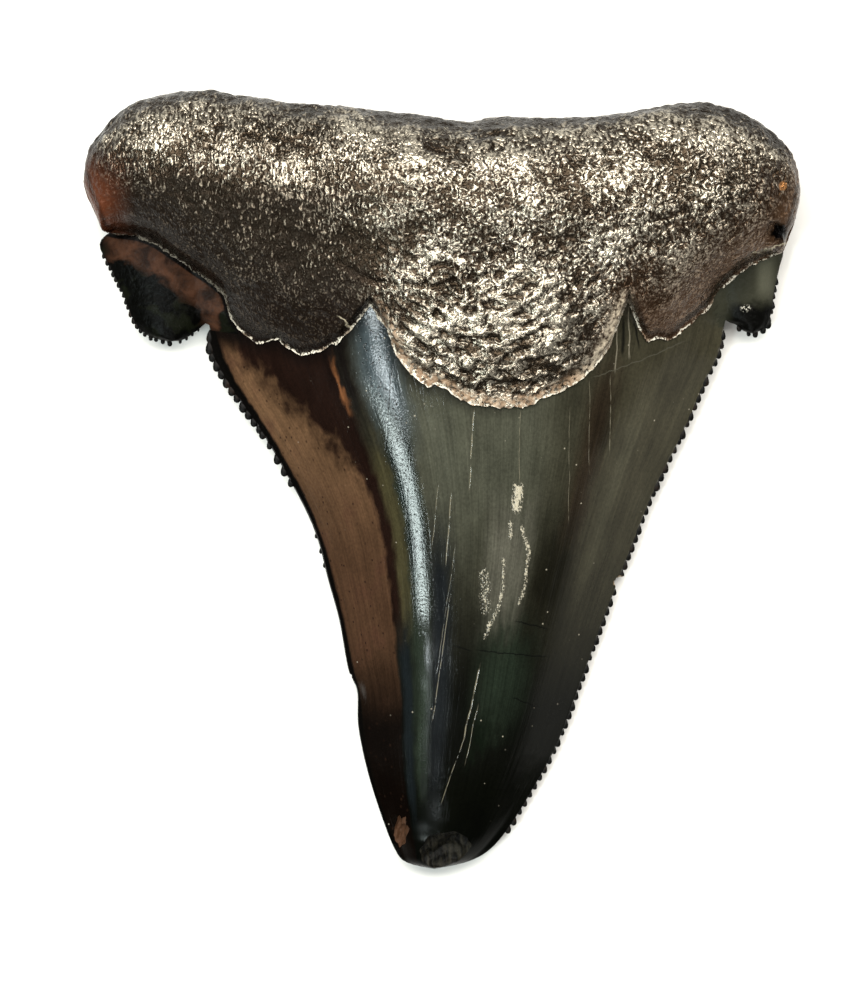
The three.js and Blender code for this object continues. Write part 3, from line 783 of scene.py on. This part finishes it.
class Finish(NodeSheet):
    """A material painted in coats, on coordinates in millimetres that are fixed to its object."""

    def __init__(self, material):
        material.use_nodes = True
        super().__init__(material.node_tree)
        self.shader = self.tree.nodes["Principled BSDF"]
        self.place = self.wire("ShaderNodeTexCoord", out="Object")
        self.x, self.y = (part * (1 / MM) for part in self.parts(self.place)[:2])
        self.colour = None

    def attribute(self, name):
        return self.wire("ShaderNodeAttribute", out="Fac", attribute_name=name)

    def grained(self, size, turn=0.0):
        """Coordinates for a texture whose grains have this size in millimetres along each axis."""
        return self.wire("ShaderNodeMapping", {
            "Vector": self.place, "Rotation": (0, 0, turn), "Scale": tuple(1 / (s * MM) for s in size)})

    def spread(self, where):
        """Coordinates for a texture, given as such or as the size of its grains."""
        return self.grained(where) if isinstance(where, tuple) else where

    def noise(self, where, detail=2.0, roughness=0.5, distortion=0.0, out="Fac"):
        """Smooth noise, from 0 to 1."""
        return self.wire("ShaderNodeTexNoise", {
            "Vector": self.spread(where), "Scale": 1.0, "Detail": detail, "Roughness": roughness,
            "Distortion": distortion}, out=out)

    def cells(self, where, scale=1.0):
        """How far a place is from the middle of its cell."""
        inputs = {"Vector": self.spread(where), "Scale": scale}
        return self.wire("ShaderNodeTexVoronoi", inputs, out="Distance")

    def mix(self, share, a, b):
        """A blend of two colours: each is red, green and blue for a tint, or made by nodes."""
        a, b = (tint(*colour) if isinstance(colour, tuple) else colour for colour in (a, b))
        return self.wire("ShaderNodeMix", {0: share, 6: a, 7: b}, out=2, data_type="RGBA")

    def blend(self, share, a, b):
        return self.wire("ShaderNodeMix", {0: share, 2: a, 3: b}, data_type="FLOAT")

    def coat(self, share, colour):
        """Lays a colour over what is painted so far."""
        self.colour = self.mix(share, self.colour, colour)

    def oval(self, middle, radii):
        """1 on an oval round a place, 0 in its middle, and more outside it."""
        x, y = ((axis - at) * (1 / radius) for axis, at, radius in zip((self.x, self.y), middle, radii))
        return x * x + y * y

    def along(self, way):
        """How far each place lies along a way, in millimetres."""
        return self.vector("DOT_PRODUCT", {0: self.place, 1: way / MM}, out="Value")

    def stroke(self, start, end, uneven, outside, inside, soft):
        """1 along a thin uneven line between two places, and 0 beyond its sides and soft ends."""
        start, end = Vector((*start, 0)), Vector((*end, 0))
        way = (end - start).normalized()
        side = Vector((-way.y, way.x, 0))
        gap = abs(self.along(side) + uneven - side.dot(start))
        return gap.rise(outside, inside) * self.along(way).between(way.dot(start), way.dot(end), soft)

    def bump(self, height, strength, depth):
        """The slopes of a relief of some millimetres' depth."""
        return self.wire("ShaderNodeBump", {"Strength": strength, "Distance": depth * MM, "Height": height})

    def apply(self, **values):
        """Joins the coats and the other values to the shader."""
        for name, value in {"Base Color": self.colour, **values}.items():
            self.plug(self.shader.inputs[name], value)


# Enamel: dark olive and brown, stained in long streaks that run to the tip, scratched and finely cracked.
enamel = Finish(enamel_material)
across, inner_face, past_margin = map(enamel.attribute, ("across", "inner_face", "past_margin"))


def lengthwise(per_width, per_mm, layer):
    """Coordinates for streaks that run down the blade and draw together at its tip."""
    return enamel.wire("ShaderNodeCombineXYZ", {0: across * per_width, 1: enamel.y * per_mm, 2: layer})


streaks = enamel.noise(lengthwise(34.0, 0.06, 0.0), detail=3.0)
fine_streaks = enamel.noise(lengthwise(110.0, 0.12, 3.0), detail=4.0, roughness=0.65)
mottle = enamel.noise((3.0, 5.0, 3.0), detail=4.0)
grain = enamel.noise((0.22, 0.3, 0.22))
jagged = enamel.noise((0.7, 2.2, 1.0), detail=3.0) * 2.0 - 1.0

enamel.colour = enamel.mix(enamel.y.rise(-24, 6), (7, 8, 5), (54, 53, 42))
# The right part of the blade is lighter olive-grey: partly its own colour, partly a painted sheen.
enamel.coat(enamel.y.rise(-24, 4) * across.rise(0.45, 0.75), (60, 57, 44))

# Each stain or painted reflection: two shares across the blade and how soft its sides are, two heights up
# it and how soft its ends are, and its colour.
STAINS_AND_PAINTED_REFLECTIONS = [
    ((-0.3, 0.35, 0.12), (-6, 13, 8), (69, 70, 59)),  # green-grey middle
    ((0.08, 0.34, 0.07), (-14, -3, 4), (82, 81, 71)),  # worn grey patch
    ((0.1, 0.5, 0.15), (-24, -15, 4), (30, 38, 29)),  # green low middle
    ((0.52, 0.64, 0.05), (-9, 12, 5), (40, 33, 24)),  # dark strip
    ((0.4, 0.66, 0.08), (-15, -5, 4), (20, 19, 12)),  # dark beside the patch
    # The pale band is a painted soft reflection.
    ((0.73, 0.79, 0.05), (-9, 7, 6), (72, 70, 56)),  # pale band
    ((-0.3, -0.16, 0.06), (-30, -5, 5), (23, 26, 28)),  # blue-black band
    ((-0.56, -0.47, 0.03), (-34, -14, 4), (20, 25, 27)),  # blue-black edge of the ridge
    ((-0.54, -0.43, 0.03), (-14, 3, 3), (62, 58, 38)),  # olive band
    # The brown left side is the darker part of the painted brown reflection on the left flank.
    ((-1.6, -0.515, 0.03), (-15, 26, 3), (26, 14, 9)),  # brown left side
    ((-0.54, -0.45, 0.05), (5, 20, 4), (16, 12, 10)),  # dark by the root
    ((-0.43, -0.27, 0.05), (5, 20, 4), (60, 70, 74)),  # blue-grey by the root
    ((-0.43, -0.31, 0.04), (-12, 6, 4), (16, 28, 26)),  # dark ridge
    ((-0.45, -0.33, 0.05), (-30, -13, 4), (38, 46, 37)),  # green ridge
    ((-0.545, -0.525, 0.012), (7.6, 11.2, 1.5), (112, 72, 44)),  # orange spot
    ((0.1, 0.28, 0.08), (-27, -24, 2), (10, 17, 9)),  # dark clump
    ((-1.4, 1.4, 0.1), (-42, -34.5, 4), (6, 7, 5)),  # black tip
]
wavering = jagged * 0.03 + across
wavering_y = jagged * 2.5 + enamel.y
for sides, ends, colour in STAINS_AND_PAINTED_REFLECTIONS:
    enamel.coat(wavering.between(*sides) * wavering_y.between(*ends), colour)

# The left flank carries a painted brown reflection: light brown, darkening downwards, up to a ragged
# slanting line.
blotch = enamel.noise((1.6, 2.2, 1.6), detail=5.0, distortion=0.4) * 2.0 - 1.0
ragged = blotch * 3.4 + jagged * 0.5 + enamel.x + enamel.y
rust_specks = enamel.cells((0.7, 0.9, 0.7)).rise(0.22, 0.1) * blotch.rise(-0.2, 0.1)
painted_brown_reflection = enamel.mix(enamel.y.rise(-12, 9), (72, 51, 36), (105, 79, 56))
painted_brown_reflection = enamel.mix(enamel.y.rise(-13, -25), painted_brown_reflection, (10, 6, 4))
painted_brown_reflection = enamel.mix(mottle.rise(0.5, 0.68) * enamel.y.rise(-25, -15) * 0.6, painted_brown_reflection, (66, 43, 32))
painted_brown_reflection = enamel.mix(rust_specks * 0.7, painted_brown_reflection, (34, 22, 15))
enamel.coat(ragged.rise(-6.0, -9.6) * wavering.rise(-0.565, -0.6) * across.rise(-1.0, -0.93), painted_brown_reflection)

# Then the two corners beside the notches, the black left cutting edge, and a painted shadow along the
# root's rim.
enamel.coat(enamel.x.rise(26, 28) * enamel.y.rise(15, 16.5), (58, 58, 47))
enamel.coat(enamel.x.rise(-18.6, -20.4) * enamel.y.rise(12.6, 14.6), (16, 10, 7))
enamel.coat((jagged * 0.012 + across).rise(-0.955, -0.97) * across.rise(-1.04, -1.0), (5, 4, 3))
# A painted shadow under the root's rim, fading out towards the right.
enamel.coat(past_margin.rise(-1.5, -0.1) * enamel.x.rise(12, 0) * 0.6, (10, 8, 7))

# Fine streaks and a scatter of pale flecks over all of it.
lightness = fine_streaks * 1.1 + 0.45
for waves, depth, least in [(grain, 0.8, 0.6), (streaks, 0.8, 0.6), (mottle, 1.0, 0.48)]:
    lightness = lightness * (waves * depth + least)
enamel.colour = enamel.vector("SCALE", {0: enamel.colour, "Scale": lightness})
flecks = enamel.cells((1.5, 1.5, 1.5)).rise(0.075, 0.03) * mottle.rise(0.45, 0.6)
enamel.coat(flecks * 0.8, (176, 168, 150))

# Cracks and scratches down the blade. Each: its top, its bottom, its width and its strength.
CRACKS = [
    ((3.1, 6.8), (2.7, -0.6), 0.09, 0.8),
    ((-0.4, -0.6), (-1.0, -6.5), 0.06, 0.5),
    ((0.9, -1.5), (0.4, -8.0), 0.08, 0.7),
    ((0.8, -11.5), (-0.9, -23.5), 0.07, 0.6),
    ((1.3, -6.5), (-0.5, -18.8), 0.05, 0.4),
    ((3.7, -18.5), (2.2, -25.4), 0.1, 0.8),
    ((2.2, -25.4), (0.0, -31.8), 0.06, 0.6),
    ((3.5, -22.5), (2.3, -28.0), 0.06, 0.5),
    ((12.6, 7.0), (12.6, -4.0), 0.05, 0.4),
    ((14.6, 10.0), (14.6, 1.0), 0.05, 0.4),
    ((16.7, 10.2), (16.7, 3.0), 0.06, 0.5),
    ((7.7, 7.0), (7.6, -0.5), 0.07, 0.45),
]
broken_up = enamel.noise((0.6, 0.9, 0.6), detail=3.0)
wandering_x = enamel.x + (enamel.noise((50, 3.6, 50)) * 0.36 - 0.18)
crack_share = 0.0
for (top_x, top_y), (bottom_x, bottom_y), width, strength in CRACKS:
    lean = (top_x - bottom_x) / (top_y - bottom_y)
    gap = abs(wandering_x - (enamel.y * lean + (top_x - lean * top_y)))
    share = gap.rise(width, width * 0.1) * enamel.y.between(bottom_y, top_y, 0.6) * strength
    crack_share = share.or_more(crack_share)
crack_share = crack_share * broken_up.rise(0.28, 0.6) * inner_face
enamel.coat(crack_share, (148, 141, 120))

# Hairlines: dark ones along the ridge and across the lower half, and light and dark ones by the root.
# Each: its colour, its width and its two ends.
DARK, LIGHT, FAINT = (8, 9, 8), (128, 122, 106), (76, 74, 63)
HAIRLINES = [
    (DARK, 0.1, (-4.9, 11.6), (-5.6, 3.0)),
    (DARK, 0.1, (-3.2, 3.6), (-3.6, -4.0)),
    (DARK, 0.1, (7.4, -13.9), (10.5, -14.7)),
    (DARK, 0.09, (1.0, -16.2), (2.8, -16.8)),
    (DARK, 0.09, (3.6, -16.8), (10.4, -17.5)),
    (DARK, 0.09, (7.0, -21.5), (9.6, -22.6)),
    (LIGHT, 0.1, (17.4, 15.0), (17.2, 11.0)),
    (LIGHT, 0.1, (18.5, 17.2), (18.6, 12.4)),
    (DARK, 0.26, (18.0, 16.0), (17.9, 12.6)),
    (DARK, 0.2, (19.0, 16.0), (19.5, 13.4)),
    (FAINT, 0.07, (15.1, 10.35), (20.4, 12.25)),
    (FAINT, 0.07, (20.4, 12.25), (24.1, 13.95)),
]
hair_share = 0.0
uneven = jagged * 0.22
for colour, width, start, end in HAIRLINES:
    share = enamel.stroke(start, end, uneven, outside=width, inside=0.02, soft=0.5) * inner_face * 0.85
    enamel.coat(share, colour)
    hair_share = share.or_more(hair_share)

# In the middle the surface is scratched through, in strings of cream specks. Each string: its width, its
# strength and its two ends.
WORN = [
    (0.75, 0.85, (7.6, -0.2), (7.35, -3.1)),
    (0.33, 0.5, (6.8, -3.9), (6.8, -5.6)),
    (0.3, 0.6, (7.9, -4.4), (8.6, -6.9)),
    (0.3, 0.5, (8.6, -6.9), (8.3, -10.1)),
    (0.3, 0.45, (8.3, -10.1), (7.6, -12.3)),
    (0.3, 0.4, (6.1, -7.6), (6.0, -10.9)),
    (0.33, 0.5, (6.0, -10.9), (5.4, -13.0)),
    (0.36, 0.5, (5.4, -13.0), (4.2, -15.5)),
    (0.9, 0.3, (4.2, -8.7), (4.3, -13.2)),
]
string_share = 0.0
uneven = jagged * 0.3
gaps = broken_up.rise(0.26, 0.44)
for width, strength, start, end in WORN:
    share = enamel.stroke(start, end, uneven, outside=width, inside=0.0, soft=0.4) * gaps * strength
    string_share = share.or_more(string_share)
speckle = enamel.noise((0.14, 0.24, 0.14))
worn_share = (speckle + string_share * 0.4 + broken_up * 0.25).rise(0.7, 0.96)
worn_share = worn_share * string_share.rise(0.02, 0.2) * inner_face
enamel.coat(worn_share * 0.85, (206, 198, 174))

ridge = across.between(-0.43, -0.3, 0.05) * enamel.y.rise(-17, -9) * inner_face
pinholes = enamel.cells((0.45, 0.45, 0.45)).rise(0.28, 0.16) * ridge
enamel.coat(pinholes, (18, 24, 26))

satin = enamel.x.rise(24.6, 27.6) * enamel.y.rise(13, 16)
height = fine_streaks * 0.35 + streaks * 0.6 - hair_share * 0.15 - crack_share * 1.2
height = height + worn_share * grain * 2.0 + speckle * (ridge * 0.5 + 0.1) - pinholes * 0.8
gloss = mottle * 0.1 + 0.07 + satin * 0.1 + worn_share * 0.25
enamel.apply(IOR=1.36, Roughness=gloss, Normal=enamel.bump(height, strength=0.5, depth=0.06))

# Towards the tip the same enamel is etched, and mirrors less and less. Each step: the height below
# which it starts, and the refractive index there.
ETCHED = [(-27.6, 1.31), (-28.3, 1.26), (-29.0, 1.21), (-29.7, 1.17), (-30.4, 1.13)]
first_etched = len(tooth_mesh.materials)
for _, index in ETCHED:
    etched = enamel_material.copy()
    etched.name = "tip_enamel"
    etched.node_tree.nodes["Principled BSDF"].inputs["IOR"].default_value = index
    tooth_mesh.materials.append(etched)
for face in tooth_mesh.polygons:
    at = face.center / MM
    wavy_height = at.y + 0.7 * noise.noise(at / 1.3)
    passed = sum(wavy_height < below for below, _ in ETCHED)
    if face.material_index == slots["enamel"] and passed:
        face.material_index = first_etched + passed - 1

# The cusplets are duller, with a thin painted shadow under the root's rim. The left one is black, with
# brown along the root; the right one is grey-green with a painted sheen high on its outer side, a black
# foot and a few pale specks.
dull = Finish(cusplet_material)
past_margin = dull.attribute("past_margin")
blotch = dull.noise((1.8, 1.5, 1.8), detail=5.0, distortion=0.5) * 2.0 - 1.0
by_root, by_notch = blotch * 1.6 + past_margin, blotch * 1.8 + dull.x
brown_share = by_root.rise(-3.2, -2.2) * dull.x.rise(-34.2, -33.0) * by_notch.rise(-21.4, -22.6)
dull.colour = dull.mix(blotch.rise(0.0, 0.3), (3, 3, 2), (16, 18, 10))
dull.coat(brown_share, dull.mix(blotch.rise(-0.3, 0.3), (76, 50, 36), (34, 21, 14)))
# A thin painted shadow under the root's rim.
dull.coat(past_margin.rise(-0.42, -0.25), (6, 4, 3))

# A painted sheen: a lighter grey-green patch high on the right cusplet's outer side.
painted_sheen = dull.x.between(31.6, 33.2, 0.6) * dull.y.rise(17.6, 19.6)
beside_notch = by_root.rise(-3.6, -0.6) * dull.x.between(28.6, 31.0, 0.8)
foot = (blotch + dull.y).rise(18.3, 17.0) * dull.x.rise(28.2, 29.4)
specks = dull.oval(middle=(30.4, 17.3), radii=(0.55, 0.35)).rise(1.6, 0.4)
specks = specks * dull.noise((0.18, 0.18, 0.18)).rise(0.52, 0.62)
grey_green = dull.mix(painted_sheen, (54, 54, 44), (88, 88, 75))
grey_green = dull.mix(beside_notch * 0.5, grey_green, (34, 35, 29))
grey_green = dull.mix(foot, grey_green, (7, 7, 6))
dull.coat(dull.x.rise(0.0, 1.0), dull.mix(specks, grey_green, (196, 192, 178)))
pits = dull.noise((0.5, 0.5, 0.5), detail=3.0)
dull.apply(IOR=1.1, Roughness=pits * 0.3 + 0.22, Normal=dull.bump(pits, strength=0.5, depth=0.2))

# The serrations: the same enamel, black right through, with a little brown in it.
drops = Finish(serration_material)
smudges = drops.noise((0.9, 0.9, 0.9), detail=3.0)
drops.colour = drops.mix(smudges.rise(0.5, 0.75), (3, 3, 2), (34, 24, 17))
drops.apply(IOR=1.15, Roughness=smudges * 0.3 + 0.3, Normal=drops.bump(smudges, strength=0.4, depth=0.1))

# Root: crumbly, black in its creases and rubbed to a mineral shine on every crumb; the pale crumb tops are
# partly painted glints. Both flanks are smoother and browner, and the left end is reddish.
bone = Finish(root_material)
past_margin, smooth_share = map(bone.attribute, ("past_margin", "smooth_root"))
drift = bone.noise((0.9, 0.9, 0.9), detail=1.0, out="Color")


def crumbs(width, length, turn):
    """Rounded crumbs with sharp creases between them, as a height from about -0.5 to 0.5."""
    straight = bone.grained((width, length, 0.8), turn)
    bent = bone.vector("MULTIPLY_ADD", {0: drift, 1: (1.6, 1.6, 1.6), 2: straight})
    return abs(bone.noise(bent, detail=1.5) * 4.0 - 2.0) * 0.55 + 0.01 - bone.cells(bent, 1.3) * 0.6


grain = bone.blend(bone.x.rise(0, -9), crumbs(0.52, 0.6, 0.3), crumbs(0.36, 0.75, 0.6))
grain = bone.blend(bone.y.rise(21, 14) * (1.0 - smooth_share) * 0.7, grain, crumbs(1.15, 0.8, 0.2))
fine = bone.noise((0.2, 0.24, 0.22))
clumps = bone.noise((1.6, 1.3, 1.6))
# Shine also carries painted light: its zones are lighter where light falls and darker in shade.
shine = bone.attribute("polish_and_painted_light") * (bone.noise((5.0, 3.5, 5.0)) * 1.5 + 0.25)
lifted = (bone.attribute("relief").rise(-0.35, 0.35) - 0.5) * 0.36
lifted = lifted + grain + (fine - 0.5) * (smooth_share * 1.6 + 0.6)
shown = (shine * 0.42 + lifted).rise(0.1, 0.66)
creases = bone.mix(shine, (5, 3, 2), (68, 58, 47))
pale_tops_and_painted_glints = bone.mix(shine, (116, 96, 76), (240, 230, 210))
flank_brown = bone.mix(bone.x.rise(0, 20), (30, 20, 14), (122, 88, 62))
bone.colour = bone.mix(shown, creases, pale_tops_and_painted_glints)
bone.coat(smooth_share * (shown * 0.5 + 0.4), flank_brown)
bone.coat(bone.x.rise(-30, -35) * bone.y.rise(34, 27) * 0.8, (120, 66, 42))

# The rim is a thin flaking cream line, wider and scaly round the tongue, and dark above it elsewhere.
flakes = bone.noise((0.5, 0.5, 0.5), detail=3.0)
tongue_share = bone.x.rise(-8, -4) * bone.x.rise(19.5, 17.5)
rim_band = past_margin.rise(1.5, 0.6) * flakes.rise(0.35, 0.6) * tongue_share
bone.coat(rim_band * 0.7, bone.mix(bone.x.rise(12, 15.5), (176, 146, 118), (222, 208, 184)))
rim_gap = flakes * 0.9 + (past_margin - 0.54)
rim_line = rim_gap.rise(0.16, 0.0) * fine.rise(0.4, 0.5) * abs(bone.x).rise(34.5, 32.5)
rim_colour = bone.mix(clumps.rise(0.36, 0.5), (140, 122, 104), (252, 244, 226))
bone.coat(rim_line * 0.95, bone.mix(bone.x.rise(-19, -22.5), rim_colour, (128, 122, 110)))
bone.coat(past_margin.between(0.35, 0.8, 0.2) * tongue_share.rise(0.6, 0.2) * 0.6, (12, 8, 6))

# Light cracks: one on the left lobe, and a second line beside the rim at the right end.
ROOT_LINES = [((-10.2, 16.25), (-9.5, 15.6)), ((-9.5, 15.6), (-8.9, 15.05)), ((30.8, 22.6), (34.4, 23.7))]
for start, end in ROOT_LINES:
    line = bone.stroke(start, end, (flakes - 0.5) * 0.9, outside=0.14, inside=0.02, soft=0.3)
    bone.coat(line * 0.9, (206, 194, 168))

# A dark pit near the right end, its black partly painted shade in its hollow, and an orange fleck beside
# it.
# Each: its middle, radius and colour.
SPOTS = [((33.4, 24.7), 0.9, (3, 2, 2)), ((33.7, 29.2), 0.45, (206, 146, 92))]
for middle, radius, colour in SPOTS:
    bone.coat((bone.oval(middle, (radius, radius)) + flakes * 1.6).rise(2.1, 1.2), colour)

metal = shine.rise(0.0, 0.7) * 0.85 * (1.0 - rim_line.or_more(rim_band))
height = fine * 0.055 + grain * 0.17 + clumps * 0.4
relief_bump = bone.bump(height, strength=1.0 - smooth_share * 0.55, depth=1.0)
bone.apply(IOR=1.12, Metallic=metal, Roughness=fine * 0.1 + 0.22, Normal=relief_bump)

# Broken dentine: dull, with fibres running down to the break. It is brown on the left side, and pale in
# the chip of the right edge.
fibre = Finish(dentine_material)
threads = fibre.noise(fibre.grained((0.3, 1.6, 0.5), turn=-0.35), detail=4.0, distortion=0.5)
fibre.colour = fibre.mix(threads.rise(0.35, 0.68), (4, 4, 3), (40, 38, 31))
fibre.coat(fibre.x.rise(-2.2, -3.4) * 0.8, (84, 56, 38))
fibre.coat(fibre.y.rise(-14.5, -12.5), (168, 146, 118))
torn = threads + fibre.noise((0.8, 0.8, 0.8), detail=3.0)
fibre.apply(IOR=1.15, Roughness=0.5, Normal=fibre.bump(torn, strength=0.9, depth=0.3))

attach(tooth, "root")
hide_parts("tooth")

# ------------------------------------------------------------------ table, lights and camera
# The tooth lies on its flatter outer face on a plain white table, under soft lamps, and the camera looks
# straight down on it.

floor_mesh = bpy.data.meshes.new("table")
floor_mesh.from_pydata([(-1, -1, 0), (1, -1, 0), (1, 1, 0), (-1, 1, 0)], [], [(0, 1, 2, 3)])
table = new_object("table", floor_mesh)
table_material = bpy.data.materials.new("white_table")
floor_mesh.materials.append(table_material)
paint = Finish(table_material)
clouds = {0: paint.noise((60, 60, 60), detail=3.0), 6: (0.46, 0.46, 0.45, 1), 7: (0.48, 0.48, 0.47, 1)}
paint.colour = paint.wire("ShaderNodeMix", clouds, out=2, data_type="RGBA")
paint.apply(Roughness=0.9)

scene = bpy.context.scene
scene.view_settings.view_transform = "Standard"
room = bpy.data.worlds.new("room")
scene.world = room
room.use_nodes = True
background = room.node_tree.nodes["Background"].inputs
background["Color"].default_value = (1.0, 0.98, 0.95, 1)
background["Strength"].default_value = 0.06

# Each lamp: its place and size in metres, its power in watts, its colour and the way its first side runs.
LAMPS = dict(
    far_softbox=((0.0, 0.26, 0.5), (1.1, 0.32), 16.0, (1.0, 0.965, 0.9), (1, 0, 0)),
    left_strip=((-0.365, -0.28, 0.5), (0.235, 0.085), 2.7, (0.87, 1.0, 0.97), (-0.97, -0.22, 0)),
    left_spot=((-0.21, -0.105, 0.5), (0.08, 0.06), 0.9, (0.88, 0.98, 1.0), (-0.78, -0.62, 0)),
    near_panel=((0.0, -0.46, 0.5), (0.36, 0.13), 2.4, (1.0, 0.97, 0.92), (1, 0, 0)),
    right_panel=((0.8, -0.33, 0.21), (0.3, 0.3), 0.13, (1.0, 0.98, 0.9), (1, 0, 0)),
)
for name, (at, size, power, colour, first_side) in LAMPS.items():
    light = bpy.data.lights.new(name, "AREA")
    light.shape = "RECTANGLE"
    light.size, light.size_y = size
    light.energy = power
    light.color = colour
    stand = new_object(name, light)
    back = Vector(at).normalized()
    side = Vector(first_side)
    side = (side - back * side.dot(back)).normalized()
    turn = Matrix((side, back.cross(side), back)).transposed()
    stand.matrix_world = Matrix.Translation(at) @ turn.to_4x4()

CAMERA_PLACE = (-1.3, -1.05, 550)  # millimetres
lens = bpy.data.cameras.new("camera")
lens.lens = 200
lens.sensor_width = 36
camera = new_object("camera", lens)
camera.location = Vector(CAMERA_PLACE) * MM
scene.camera = camera
